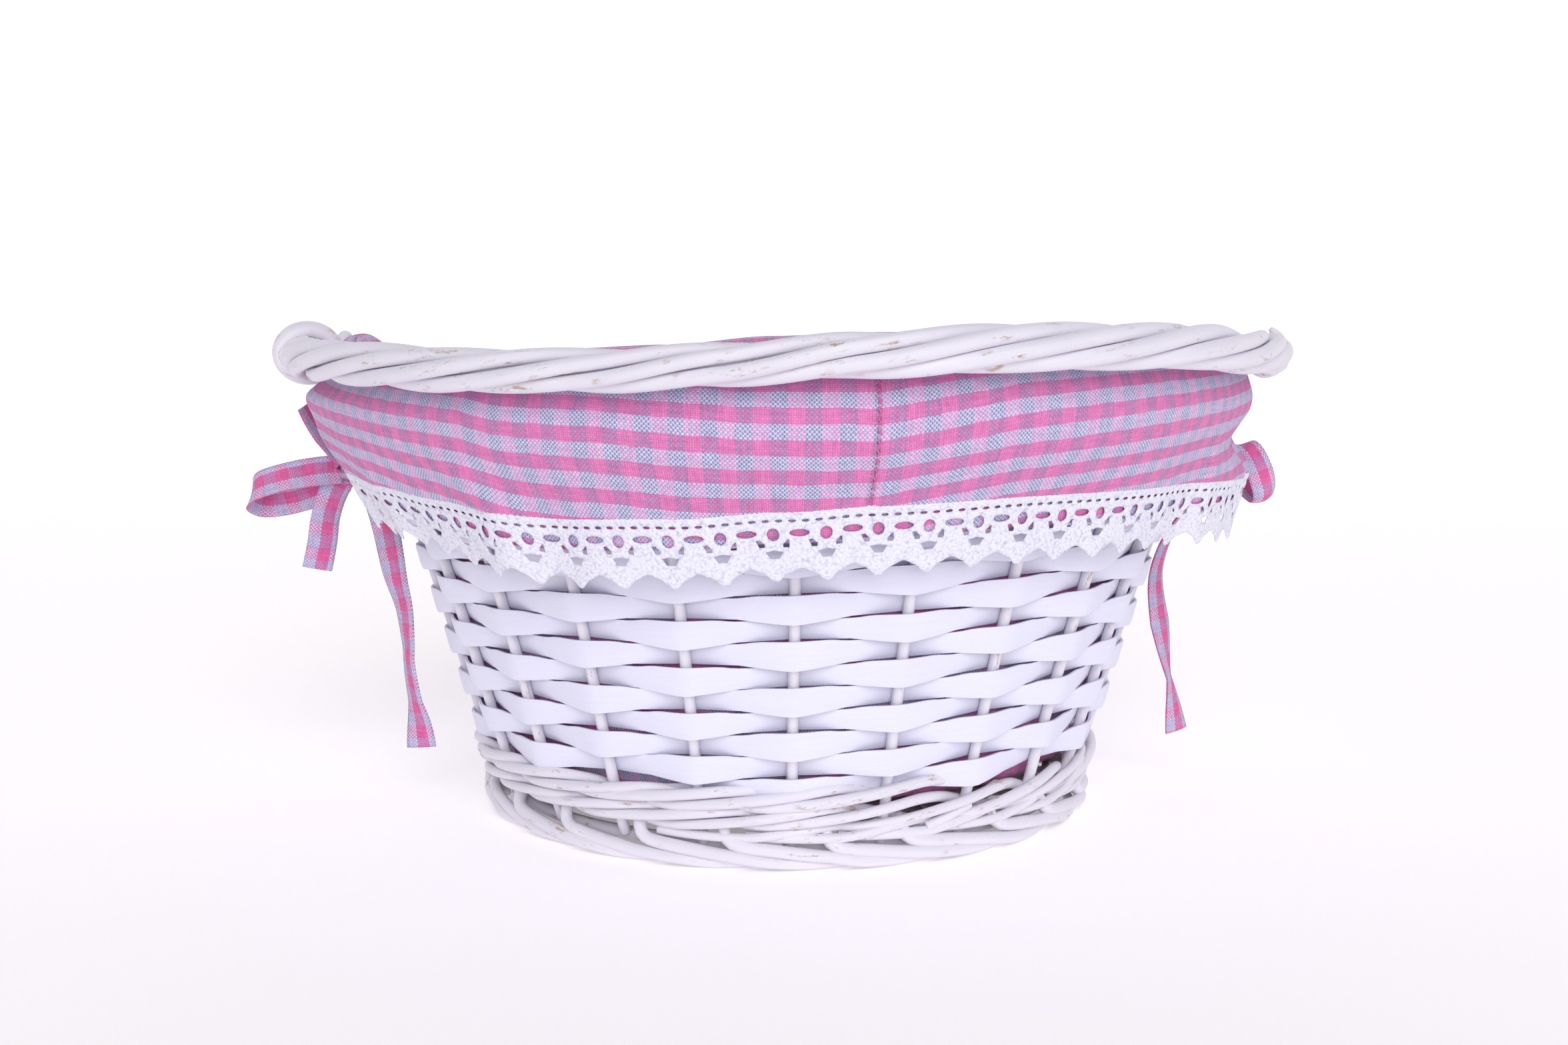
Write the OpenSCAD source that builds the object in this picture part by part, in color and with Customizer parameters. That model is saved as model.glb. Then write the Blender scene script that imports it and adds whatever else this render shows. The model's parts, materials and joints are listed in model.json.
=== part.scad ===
// Round lined wicker basket with a twisted willow bail handle that folds down over the rim.
// Origin: centre of the foot, on the surface it stands on. +Z up, front towards -Y, hinge axis along X.

/* [Basket] */
// Outside radius of the woven wall at the foot
foot_r = 102; // [100:0.5:103]
// Outside radius of the woven wall under the rim border
rim_r = 147; // [146:0.5:147]
// Height of the rim border's centre
border_z = 152; // [151.9:0.1:152.4]
// Radius of the rolled rim border
border_rod_r = 3.9; // [3.5:0.1:3.9]
// Height of the rolled foot
foot_h = 9.5; // [8:0.5:9.5]

/* [Wicker] */
// Number of upright stakes, an odd number for a continuous weave
stake_count = 23; // [21:2:25]
// Radius of a stake
stake_r = 1.7; // [1.4:0.1:1.8]
// Height of a flat weaving skein
skein_h = 6.7; // [5:0.1:6.7]
// Thickness of a flat weaving skein
skein_t = 1.2; // [0.8:0.1:1.2]
// Height that the weave climbs in one turn
weave_pitch = 7.05; // [6.95:0.05:7.3]
// Radius of a round wale rod
wale_r = 1.7; // [1.4:0.1:1.7]
// Radius of a base stick
base_stick_r = 2; // [1.6:0.1:2]

/* [Handle] */
// Radius of the bail, to the rope's centre
bail_r = 160.5; // [160:0.5:164]
// Height of the hinge axis
hinge_z = 151; // [150.5:0.25:151]
// Radius of the core rod
core_r = 2.05; // [1.8:0.05:2.05]
// Radius of each twisted rod
strand_r = 2.15; // [1.8:0.05:2.15]
// Number of twisted rods
strand_count = 5; // [4:1:5]
// Turns of twist from one hinge to the other
twist_turns = 3; // [2:0.5:4]
// Radius of the hinge pin
pin_r = 2.8; // [2.4:0.1:2.8]
// Gap between the hinge pin and its loop
pin_gap = 0.4; // [0.3:0.1:0.5]

/* [Fabric] */
// Thickness of the liner and the skirt
cloth_t = 1; // [0.8:0.1:1.1]
// Height of the skirt's hem
hem_z = 111.3; // [108:0.1:114]
// Height of the lace
lace_h = 18.4; // [14:0.1:20]
// Width of a ribbon tie
ribbon_w = 10; // [6:0.5:12]
// Half the angle of the slit round each hinge
slit_half = 6; // [5.5:0.25:8]
// Azimuth of the front seam, right of the middle
seam_angle = 9; // [0:1:30]

/* [Hidden] */

$fn = 64;
front = 270;
clear = 0.2;

// Wall: a cone from the top of the foot to the height of the rim border
wall_low_z = 10;
wall_top_z = 150;
wall_slope = (rim_r - foot_r) / (wall_top_z - wall_low_z);
stake_top_z = border_z - border_rod_r - 0.5;
skein_gap = 0.35;
weave_depth = stake_r + skein_gap + skein_t;
function wall_r(z) = foot_r + wall_slope * (z - wall_low_z);
function stake_line_r(z) = wall_r(z) - weave_depth;

// Stakes and weave
stake_step = 360 / stake_count;
stake_phase = front + 1;
weave_low_z = 25.6;
weave_top_z = 136.6;
weaver_count = 6;
weave_steps = floor(stake_count * (weave_top_z - weave_low_z) / weave_pitch);
steps_per_weaver = ceil(weave_steps / weaver_count);
skein_end_gap = 0.25;
wale_heights = [12.6, 16.2, 19.8];
rim_wale_z = 141.7;
rim_wale_r = 1.5;
wale_offset = stake_r + wale_r + 0.05;

// Rolled foot and base
foot_width = 9;
foot_out_r = foot_r - 1;
foot_round = 3;
stick_low_z = foot_h + base_stick_r + clear;
stick_high_z = stick_low_z + 2 * base_stick_r + 0.05;
stick_reach = 94;
stick_hub = 20;
sticks_per_layer = 4;
stick_fan = 22.5;
stick_pitch = 2 * base_stick_r + clear;
stick_sides = 12;
base_weave_r = 93.5;
base_weave_hub_r = 26;
base_weave_t = 3.6;

// Rim border and the cloth folded over it
border_r = stake_line_r(wall_top_z) + 0.75;
fold_in_r = border_rod_r + 0.6;
fold_out_r = fold_in_r + 1.1;
lip_low_z = border_z - 2.4;
liner_gap = 5.6;
liner_low_z = stick_high_z + base_stick_r + 0.45;
liner_shoulder_z = 149;
slit_depth_r = border_r + border_rod_r - 0.4;
slit_box_y = 31;

// Ears: round loops of willow whose shank passes through the wall under the border
ear_rod_r = 2.1;
ear_loop_r = pin_r + pin_gap + ear_rod_r;
ear_x = border_r + border_rod_r + ear_rod_r + clear;
ear_shank_r = 1.9;
ear_shank_z = hinge_z - pin_r - pin_gap - ear_shank_r;
ear_shank_in = 10.5;

// Handle rope
rope_lay_r = core_r + strand_r + 0.05;
rope_r = rope_lay_r + strand_r;
rope_end = 88.4;
rope_rings = 60;
rope_sides = 8;
pin_in_x = border_r + border_rod_r + 0.5;
collar_angle = 4.35;
collar_left_rod_r = 2.2;
collar_right_rod_r = 1.6;

// Skirt outline, outer face, from the lip down to the hem: [radius, height]
skirt_line = [[150.2, lip_low_z - 0.3], [153, 144.5], [154.5, 138], [152.5, 128], [142.2, hem_z]];
lace_line = [[142.2, hem_z - 0.2], [136.6, hem_z - lace_h]];
seam_gap = 0.05;

// Ribbon ties: centre lines chosen by hand
ribbon_t = 0.8;
knot_r = 5;
left_knot_at = [-151, 0, 111];
left_loop_path = [
    [-157, -2, 112], [-168, -7, 111.5], [-179, -7, 109], [-184, -2, 105],
    [-182, 4, 102], [-171, 5, 103.5], [-157, 2, 107.5]
];
left_short_tail_path = [[-156, 0, 104.5], [-159, -1, 96], [-160, -2, 86], [-162, -2, 76]];
left_long_tail_path = [
    [-136.5, -19, 108], [-132.5, -20, 94], [-128.5, -21, 76], [-126.5, -21, 56], [-124, -20, 36], [-121, -20, 18]
];
right_knot_at = [151, 0, 111];
right_loop_path = [
    [156.8, 0, 113.5], [161.5, 0, 117], [166, 0, 113.5], [167, 0, 107.5], [163, 0, 103], [156.8, 0, 106]
];
right_tail_path = [
    [148, 4, 105], [139, 5, 96], [132, 5, 86], [129, 5, 72], [132, 5, 50], [135, 5, 34], [137.5, 5, 18]
];

// Triangles of a swept tube: rings of "sides" points, one after another
function tube_faces(rings, sides) = concat(
    [[for (k = [sides - 1:-1:0]) k]],
    [[for (k = [0:sides - 1]) (rings - 1) * sides + k]],
    [for (j = [0:rings - 2]) for (k = [0:sides - 1])
        [j * sides + k, j * sides + (k + 1) % sides, (j + 1) * sides + (k + 1) % sides]],
    [for (j = [0:rings - 2]) for (k = [0:sides - 1])
        [j * sides + k, (j + 1) * sides + (k + 1) % sides, (j + 1) * sides + k]]
);

function unit(v) = v / norm(v);
function polar(r, a, z) = [r * cos(a), r * sin(a), z];

module rod(a, b, r) {
    d = b - a;
    translate(a)
        rotate([0, acos(d.z / norm(d)), atan2(d.y, d.x)])
            cylinder(h = norm(d), r = r);
}

module ring(centre_r, z, r) {
    translate([0, 0, z])
        rotate_extrude()
            translate([centre_r, 0])
                circle(r = r);
}

// A round tube along a level path
module tube(path, r, sides) {
    n = len(path);
    up = [0, 0, 1];
    points = [for (i = [0:n - 1]) for (k = [0:sides - 1])
        let (
            ahead = unit(path[min(i + 1, n - 1)] - path[max(i - 1, 0)]),
            out = cross(ahead, up),
            turn = 360 * k / sides
        )
        path[i] + r * cos(turn) * out + r * sin(turn) * up];
    polyhedron(points = points, faces = tube_faces(n, sides));
}

// ---- Foot and base ----

module foot_border() {
    color("white")
        rotate_extrude()
            polygon(concat(
                [[foot_out_r - foot_width, 0], [foot_out_r - foot_round, 0]],
                [for (a = [-90:15:90]) [
                    foot_out_r - foot_round + foot_round * cos(a),
                    (a <= 0 ? foot_round : foot_h - foot_round) + foot_round * sin(a)
                ]],
                [[foot_out_r - foot_width, foot_h]]
            ));
}

function stick_across(i) = i - (sticks_per_layer - 1) / 2;
function stick_end(i, z) = polar(stick_reach, stick_across(i) * stick_fan, z);
function stick_knee(i, z) = [stick_hub, stick_across(i) * stick_pitch, z];
function flip_x(p) = [-p.x, p.y, p.z];

// A layer of sticks that lie side by side in the middle and fan out to the wall
module stick_layer(z, turn) {
    rotate([0, 0, turn])
        for (i = [0:sticks_per_layer - 1]) {
            path = [flip_x(stick_end(i, z)), flip_x(stick_knee(i, z)), stick_knee(i, z), stick_end(i, z)];
            tube(path, base_stick_r, stick_sides);
        }
}

module base_sticks_lower() {
    color("white")
        stick_layer(stick_low_z, 0);
}

module base_sticks_upper() {
    color("white")
        stick_layer(stick_high_z, 90);
}

module base_weave() {
    color("whitesmoke")
        difference() {
            translate([0, 0, stick_high_z - base_weave_t / 2])
                cylinder(h = base_weave_t, r = base_weave_r, $fn = 128);
            translate([0, 0, stick_high_z - base_weave_t])
                cylinder(h = 2 * base_weave_t, r = base_weave_hub_r);
            for (side = [90, 270], i = [0:sticks_per_layer - 1])
                rotate([0, 0, side])
                    rod(stick_knee(i, stick_high_z), stick_end(i, stick_high_z), base_stick_r + clear / 2);
        }
}

// ---- Wall ----

module stakes() {
    color("ivory")
        for (i = [0:stake_count - 1]) {
            a = stake_phase + i * stake_step;
            rod(
                polar(stake_line_r(foot_h + clear), a, foot_h + clear),
                polar(stake_line_r(stake_top_z), a, stake_top_z),
                stake_r
            );
        }
}

module foot_wale() {
    color("white")
        for (z = wale_heights, side = [-1, 1])
            ring(stake_line_r(z) + side * wale_offset, z, wale_r);
}

// One skein: it passes outside one stake and inside the next while it climbs
module side_weaver(index) {
    first = 2 * index * steps_per_weaver;
    last = min(2 * (index + 1) * steps_per_weaver, 2 * weave_steps) - 1;
    reach = weave_depth - skein_t / 2;
    corners = [[-1, -1], [1, -1], [1, 1], [-1, 1]];
    points = [for (m = [first:last]) for (c = corners)
        let (
            at = m == last ? m - skein_end_gap : m,
            bend = m % 2 == 0 ? ((m / 2) % 2 == 0 ? reach : -reach) : 0,
            z = weave_low_z + weave_pitch * at / (2 * stake_count),
            up = c[1] * skein_h / 2
        )
        polar(
            stake_line_r(z) + bend + c[0] * skein_t / 2 + wall_slope * up,
            stake_phase + at * stake_step / 2,
            z + up
        )];
    color("lavender")
        polyhedron(points = points, faces = tube_faces(last - first + 1, len(corners)));
}

module rim_wale() {
    color("white")
        for (side = [-1, 1])
            ring(stake_line_r(rim_wale_z) + side * (stake_r + rim_wale_r + 0.05), rim_wale_z, rim_wale_r);
}

module rim_border() {
    color("white")
        ring(border_r, border_z, border_rod_r);
}

module ear(side) {
    color("white")
        mirror([side < 0 ? 1 : 0, 0, 0])
            union() {
                translate([ear_x, 0, hinge_z])
                    rotate([0, 90, 0])
                        rotate_extrude()
                            translate([ear_loop_r, 0])
                                circle(r = ear_rod_r);
                rod([ear_x - ear_shank_in, 0, ear_shank_z], [ear_x, 0, ear_shank_z], ear_shank_r);
            }
}

// ---- Handle, folded down to the front ----

// The middle rod of the rope, whose ends turn inwards as hinge pins
module handle_core() {
    color("white")
        union() {
            translate([0, 0, hinge_z])
                rotate([0, 0, 180])
                    rotate_extrude(angle = 180)
                        translate([bail_r, 0])
                            circle(r = core_r);
            for (side = [-1, 1])
                rod([side * pin_in_x, 0, hinge_z], [side * (bail_r + pin_r), 0, hinge_z], pin_r);
        }
}

module handle_rod(index) {
    points = [for (j = [0:rope_rings - 1]) for (k = [0:rope_sides - 1])
        let (
            b = -rope_end + 2 * rope_end * j / (rope_rings - 1),
            lay = 360 * index / strand_count + 2 * twist_turns * b,
            turn = 360 * k / rope_sides
        )
        polar(
            bail_r + rope_lay_r * cos(lay) + strand_r * cos(turn),
            front + b,
            hinge_z + rope_lay_r * sin(lay) + strand_r * sin(turn)
        )];
    color("white")
        polyhedron(points = points, faces = tube_faces(rope_rings, rope_sides));
}

// A ring of willow that holds the rope's end together
module handle_collar(side, r) {
    color("white")
        rotate([0, 0, side < 0 ? 180 + collar_angle : -collar_angle])
            translate([bail_r, 0, hinge_z])
                rotate([90, 0, 0])
                    rotate_extrude()
                        translate([rope_r + r + 0.1, 0])
                            circle(r = r);
}

// ---- Liner ----

module liner_floor() {
    color("pink")
        translate([0, 0, liner_low_z])
            cylinder(h = cloth_t, r = stake_line_r(liner_low_z) - liner_gap - cloth_t - 0.1, $fn = 128);
}

// The wall of the liner goes up inside the wicker and folds over the border
module liner_wall() {
    low_r = stake_line_r(liner_low_z) - liner_gap;
    top_r = stake_line_r(liner_shoulder_z) - liner_gap;
    outline = concat(
        [[low_r - cloth_t, liner_low_z], [low_r, liner_low_z], [top_r, liner_shoulder_z]],
        [for (a = [180:-15:0]) [border_r + fold_in_r * cos(a), border_z + fold_in_r * sin(a)]],
        [[border_r + fold_in_r, lip_low_z], [border_r + fold_out_r, lip_low_z]],
        [for (a = [0:15:180]) [border_r + fold_out_r * cos(a), border_z + fold_out_r * sin(a)]],
        [[top_r - cloth_t, liner_shoulder_z]]
    );
    color("pink")
        difference() {
            rotate_extrude($fn = 128)
                polygon(outline);
            for (side = [0, 180])
                rotate([0, 0, side])
                    translate([slit_depth_r, -slit_box_y / 2, lip_low_z - 2])
                        cube([10, slit_box_y, 20]);
        }
}

// A band of cloth that follows an outline between two azimuths
module cloth_band(line, from_angle, to_angle, t) {
    n = len(line);
    outline = concat(
        [for (i = [n - 1:-1:0]) line[i]],
        [for (p = line) [p[0] - t, p[1]]]
    );
    rotate([0, 0, from_angle + seam_gap])
        rotate_extrude(angle = to_angle - from_angle - 2 * seam_gap, $fn = 128)
            polygon(outline);
}

module skirt_front_left() {
    color("hotpink")
        cloth_band(skirt_line, 180 + slit_half, front + seam_angle, cloth_t);
}

module skirt_front_right() {
    color("hotpink")
        cloth_band(skirt_line, front + seam_angle, 360 - slit_half, cloth_t);
}

module skirt_back_left() {
    color("hotpink")
        cloth_band(skirt_line, 90 + seam_angle, 180 - slit_half, cloth_t);
}

module skirt_back_right() {
    color("hotpink")
        cloth_band(skirt_line, slit_half, 90 + seam_angle, cloth_t);
}

module lace_front() {
    color("white")
        cloth_band(lace_line, 180 + slit_half, 360 - slit_half, cloth_t);
}

module lace_back() {
    color("white")
        cloth_band(lace_line, slit_half, 180 - slit_half, cloth_t);
}

// ---- Ties ----

// A flat ribbon along a path, its width along one direction
module ribbon(path, width_way) {
    n = len(path);
    corners = [[-1, -1], [1, -1], [1, 1], [-1, 1]];
    points = [for (i = [0:n - 1]) for (c = corners)
        let (
            ahead = unit(path[min(i + 1, n - 1)] - path[max(i - 1, 0)]),
            out = unit(cross(ahead, width_way)),
            wide = cross(out, ahead)
        )
        path[i] + c[0] * out * ribbon_t / 2 + c[1] * wide * ribbon_w / 2];
    color("hotpink")
        polyhedron(points = points, faces = tube_faces(n, len(corners)));
}

module knot(at) {
    color("hotpink")
        translate(at)
            sphere(r = knot_r);
}

foot_border();
base_sticks_lower();
base_sticks_upper();
base_weave();
stakes();
foot_wale();
side_weaver(0);  // side_weaver_1
side_weaver(1);  // side_weaver_2
side_weaver(2);  // side_weaver_3
side_weaver(3);  // side_weaver_4
side_weaver(4);  // side_weaver_5
side_weaver(5);  // side_weaver_6
rim_wale();
rim_border();
ear(-1);  // ear_left
ear(1);  // ear_right
handle_core();
handle_rod(0);  // handle_rod_1
handle_rod(1);  // handle_rod_2
handle_rod(2);  // handle_rod_3
handle_rod(3);  // handle_rod_4
handle_rod(4);  // handle_rod_5
handle_collar(-1, collar_left_rod_r);  // handle_collar_left
handle_collar(1, collar_right_rod_r);  // handle_collar_right
liner_floor();
liner_wall();
skirt_front_left();
skirt_front_right();
skirt_back_left();
skirt_back_right();
lace_front();
lace_back();
knot(left_knot_at);  // tie_left_knot
ribbon(left_loop_path, [0, 0.3, 1]);  // tie_left_loop
ribbon(left_short_tail_path, [1, 0.4, 0]);  // tie_left_short_tail
ribbon(left_long_tail_path, [0.3, -1, 0]);  // tie_left_long_tail
knot(right_knot_at);  // tie_right_knot
ribbon(right_loop_path, [0, 1, 0]);  // tie_right_loop
ribbon(right_tail_path, [0.2, 1, 0]);  // tie_right_tail
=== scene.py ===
"""Round wicker basket with a gingham liner, a lace-edged skirt, ribbon ties and a twisted willow handle."""

import json
import math

import bmesh
import bpy
import numpy as np
from numpy import arange, array, clip, concatenate, cos, interp, linspace, radians, sin, stack
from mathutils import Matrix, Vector
from mathutils.geometry import delaunay_2d_cdt


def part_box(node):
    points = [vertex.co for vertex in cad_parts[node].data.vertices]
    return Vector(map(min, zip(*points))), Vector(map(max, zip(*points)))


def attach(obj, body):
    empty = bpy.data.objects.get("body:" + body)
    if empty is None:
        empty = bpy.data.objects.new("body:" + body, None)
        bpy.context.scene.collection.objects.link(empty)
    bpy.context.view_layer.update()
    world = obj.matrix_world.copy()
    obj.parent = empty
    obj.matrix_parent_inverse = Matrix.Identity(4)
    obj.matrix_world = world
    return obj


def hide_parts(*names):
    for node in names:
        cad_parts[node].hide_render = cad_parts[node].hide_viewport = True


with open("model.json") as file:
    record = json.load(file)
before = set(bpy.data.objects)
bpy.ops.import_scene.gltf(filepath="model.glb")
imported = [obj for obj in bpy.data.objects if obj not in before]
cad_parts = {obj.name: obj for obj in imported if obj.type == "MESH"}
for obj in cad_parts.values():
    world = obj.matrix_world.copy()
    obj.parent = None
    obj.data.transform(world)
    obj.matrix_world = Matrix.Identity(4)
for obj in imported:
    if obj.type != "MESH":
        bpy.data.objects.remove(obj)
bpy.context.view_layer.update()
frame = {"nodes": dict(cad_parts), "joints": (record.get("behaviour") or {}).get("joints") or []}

MM = 0.001
TAU = 2 * math.pi

# --- Sizes in millimetres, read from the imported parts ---


def box_mm(node):
    """A CAD node's lowest and highest corners, in millimetres."""
    low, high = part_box(node)
    return array(low) / MM, array(high) / MM


STAKE_R = 1.7
FOOT_WALE_R = 1.7
RIM_WALE_R = 1.5
WALE_GAP = 0.05
STAKES = 23
STAKE_STEP = 360 / STAKES
STAKE_PHASE = 1.0  # the azimuth of the first stake, right of the front

FOOT_R, _, FOOT_TOP = box_mm("foot_border")[1]
wale_high = box_mm("foot_wale")[1]
WALE_Z = wale_high[2] - FOOT_WALE_R
WALE_LINE = wale_high[0] - STAKE_R - 2 * FOOT_WALE_R - WALE_GAP
rim_wale_high = box_mm("rim_wale")[1]
RIM_WALE_Z = rim_wale_high[2] - RIM_WALE_R
RIM_WALE_LINE = rim_wale_high[0] - STAKE_R - 2 * RIM_WALE_R - WALE_GAP
WALL_SLOPE = (RIM_WALE_LINE - WALE_LINE) / (RIM_WALE_Z - WALE_Z)
border_low, border_high = box_mm("rim_border")
BORDER_ROD = (border_high[2] - border_low[2]) / 2
BORDER_Z = (border_high[2] + border_low[2]) / 2
BORDER_R = border_high[0] - BORDER_ROD
HINGE_Z = frame["joints"][0]["pos_m"][2] / MM
rope_low, rope_high = box_mm("handle_rod_3")
ROPE_R = (rope_high[2] - rope_low[2]) / 2
BAIL_R = -box_mm("handle_rod_1")[0][1] - ROPE_R
WAIST_IN = 1.3  # how far the wall is drawn in at its middle


def stake_line(z):
    """Radius of the stakes' centre line at a height: a cone that is drawn in a little at its middle."""
    waist = WAIST_IN * sin(np.pi * clip((z - WALE_Z) / (RIM_WALE_Z - WALE_Z), 0, 1))
    return WALE_LINE + WALL_SLOPE * (z - WALE_Z) - waist


def around(radius, azimuth, z):
    """Points at a radius and height; azimuth 0 is the front, in degrees, growing to the right."""
    a = radians(azimuth)
    return stack(np.broadcast_arrays(radius * sin(a), -radius * cos(a), z), -1)


# --- Meshes ---


def linked(name, data):
    """A new object in the scene."""
    made = bpy.data.objects.new(name, data)
    bpy.context.scene.collection.objects.link(made)
    return made


class Shape:
    """Collects the points, faces and UVs of closed shells for one object, all in millimetres."""

    def __init__(self):
        self.points, self.faces, self.uvs, self.count = [], [], [], 0

    def add(self, points, faces, uvs):
        """Faces number their points from 0. Returns the number of the first point added."""
        first = self.count
        self.points.append(points.reshape(-1, 3))
        self.faces.extend((faces + first).tolist())
        self.uvs.append(uvs.reshape(-1, 2))
        self.count += len(self.points[-1])
        return first

    def grid(self, points, uv):
        """A grid of points[i, j] with uv[i, j], whose last column joins the first."""
        rows, cols = points.shape[:2]
        number = arange(rows * cols).reshape(rows, cols)
        number = concatenate([number, number[:, :1]], 1)
        uv = concatenate([uv, 2 * uv[:, -1:] - uv[:, -2:-1]], 1)
        low, high = slice(None, -1), slice(1, None)
        corners = (low, low), (low, high), (high, high), (high, low)
        quads = stack([number[c] for c in corners], -1).reshape(-1, 4)
        return self.add(points, quads, stack([uv[c] for c in corners], 2))

    def fan(self, loop, centre, uv):
        """Closes a loop of point numbers with triangles to a centre point."""
        middle = self.count
        self.points.append(centre.reshape(1, 3))
        self.count += 1
        for one, other in zip(loop, loop[1:] + loop[:1]):
            self.faces.append([one, other, middle])
        self.uvs.append(np.tile(uv, (3 * len(loop), 1)))

    def tube(self, points, uv, centres, cap_uvs=None):
        """A closed grid of rings, with a fan to a centre point at each end."""
        first = self.grid(points, uv)
        rows, cols = points.shape[:2]
        for row, centre, corner in zip((0, rows - 1), centres, cap_uvs or (uv[0, 0], uv[-1, 0])):
            self.fan([first + row * cols + k for k in range(cols)], centre, corner)

    def object(self, name, sharp_angle=None):
        mesh = bpy.data.meshes.new(name)
        mesh.from_pydata((concatenate(self.points) * MM).tolist(), [], self.faces)
        layer = mesh.uv_layers.new(name="UVMap")
        layer.data.foreach_set("uv", (concatenate(self.uvs) * MM).ravel())
        work = bmesh.new()
        work.from_mesh(mesh)
        bmesh.ops.recalc_face_normals(work, faces=work.faces)
        work.to_mesh(mesh)
        work.free()
        mesh.shade_smooth()
        if sharp_angle is not None:
            mesh.set_sharp_from_angle(angle=math.radians(sharp_angle))
        return linked(name, mesh)


def unit(v):
    return v / np.linalg.norm(v)


def unit_rows(v):
    return v / np.linalg.norm(v, axis=1)[:, None]


def uv_grid(u, v):
    return stack(np.broadcast_arrays(u, v), -1)


def frames_along(path):
    """Side and upper direction at each point of a path, turned as little as possible."""
    ahead = unit_rows(np.gradient(path, axis=0))
    side = np.zeros_like(path)
    last = np.cross(ahead[0], (0.0, 0.0, 1.0))
    if np.linalg.norm(last) < 1e-6:
        last = np.cross(ahead[0], (1.0, 0.3, 0.0))
    for i, t in enumerate(ahead):
        last = unit(last - t * (last @ t))
        side[i] = last
    return side, np.cross(side, ahead)


def lengths_along(path):
    return concatenate([[0], np.cumsum(np.linalg.norm(np.diff(path, axis=0), axis=1))])


# A rod's rounded end: how far out its last rings lie and how wide they are, as shares of the rod's radius
END_REACH = (0.72, 0.5, 0.2)
END_WIDTH = array([0.45, 0.78, 0.96])


def add_tube(shape, path, radius, sides=12, taper=(1, 1), lengthwise=0.0):
    """A round rod along a path. radius is a number or one for each point."""
    path = np.asarray(path, float)
    radius = radius * np.ones(len(path))
    start = [path[0] - unit(path[1] - path[0]) * radius[0] * taper[0] * f for f in END_REACH]
    end = [path[-1] + unit(path[-1] - path[-2]) * radius[-1] * taper[1] * f for f in END_REACH[::-1]]
    path = concatenate([start, path, end])
    radius = concatenate([radius[0] * END_WIDTH, radius, radius[-1] * END_WIDTH[::-1]])
    side, upper = frames_along(path)
    turn = arange(sides) / sides * TAU
    ring = cos(turn)[None, :, None] * side[:, None] + sin(turn)[None, :, None] * upper[:, None]
    points = path[:, None] + ring * radius[:, None, None]
    uv = uv_grid((lengths_along(path) + lengthwise)[:, None], (turn * radius.mean())[None])
    shape.tube(points, uv, (path[0], path[-1]))


def smooth_path(points, count):
    """A Catmull-Rom line through a few points, with count points evenly spaced along it."""
    p = np.asarray(points, float)
    p = concatenate([[2 * p[0] - p[1]], p, [2 * p[-1] - p[-2]]])
    t = linspace(0, 1, 24, endpoint=False)[:, None]
    out = []
    for a, b, c, d in zip(p, p[1:], p[2:], p[3:]):
        curve = (2 * a - 5 * b + 4 * c - d) * t**2
        out.append(0.5 * (2 * b + (c - a) * t + curve + (3 * b - a - 3 * c + d) * t**3))
    line = concatenate([*out, p[-2:-1]])
    along = lengths_along(line)
    want = linspace(0, along[-1], count)
    return stack([interp(want, along, line[:, k]) for k in range(3)], -1)


def wobble(rng, count, reach, knots):
    """A random line of count values within +-reach, straight between its knots."""
    return reach * interp(linspace(0, knots - 1, count), arange(knots), rng.uniform(-1, 1, knots))


def eased(x, keys, period=None):
    """A smooth line through (x, value) keys, level at each key; it repeats if it has a period."""
    keys = list(keys)
    if period:
        keys.append((keys[0][0] + period, keys[0][1]))
        x = np.mod(x - keys[0][0], period) + keys[0][0]
    at, value = array(keys, float).T
    i = clip(np.searchsorted(at, x, "right") - 1, 0, len(at) - 2)
    t = clip((x - at[i]) / (at[i + 1] - at[i]), 0, 1)
    return value[i] + (value[i + 1] - value[i]) * t * t * (3 - 2 * t)


def bell(off, width):
    """A bell curve, 1 at the middle."""
    return np.exp(-(off / width) ** 2)


def turned_from(azimuth, centre):
    """Degrees from a centre to an azimuth, between -180 and 180."""
    return np.mod(azimuth - centre + 180, 360) - 180


def add_cloth(shape, points, uv, thickness):
    """A thin closed sheet whose middle surface is the grid points[i, j]."""
    normal = np.cross(np.gradient(points, axis=0), np.gradient(points, axis=1))
    normal /= np.linalg.norm(normal, axis=2, keepdims=True) + 1e-12
    outer, inner = points + normal * thickness / 2, points - normal * thickness / 2
    rows, cols = points.shape[:2]
    both = concatenate([outer, inner[:, ::-1]], 1)
    first = shape.grid(both, concatenate([uv, uv[:, ::-1]], 1))
    for row in (0, rows - 1):
        start = first + row * 2 * cols
        for j in range(cols - 1):
            far = start + 2 * cols - 1 - j
            shape.faces.append([start + j, start + j + 1, far - 1, far])
            shape.uvs.append(stack([uv[row, j], uv[row, j + 1], uv[row, j + 1], uv[row, j]]))


def add_ribbon(shape, keys, widths, thickness=0.7, count=60, width=10.0, cup=0.5, lengthwise=0.0):
    """A ribbon along a smooth line through keys. widths are directions of its width, spread along it."""
    path = smooth_path(keys, count)
    at, share = linspace(0, 1, len(widths)), linspace(0, 1, count)
    way = stack([interp(share, at, part) for part in array(widths, float).T], -1)
    ahead = unit_rows(np.gradient(path, axis=0))
    way = unit_rows(way - ahead * (way * ahead).sum(1)[:, None])
    face = np.cross(ahead, way)
    across = linspace(-1, 1, 9)
    points = (path[:, None] + way[:, None] * (across[None, :, None] * width / 2)
              + face[:, None] * (cup * (1 - across**2))[None, :, None])
    uv = uv_grid(lengths_along(path)[:, None] + lengthwise, across[None] * 5 + 1.0)
    add_cloth(shape, points, uv, thickness)


# --- Materials ---


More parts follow.
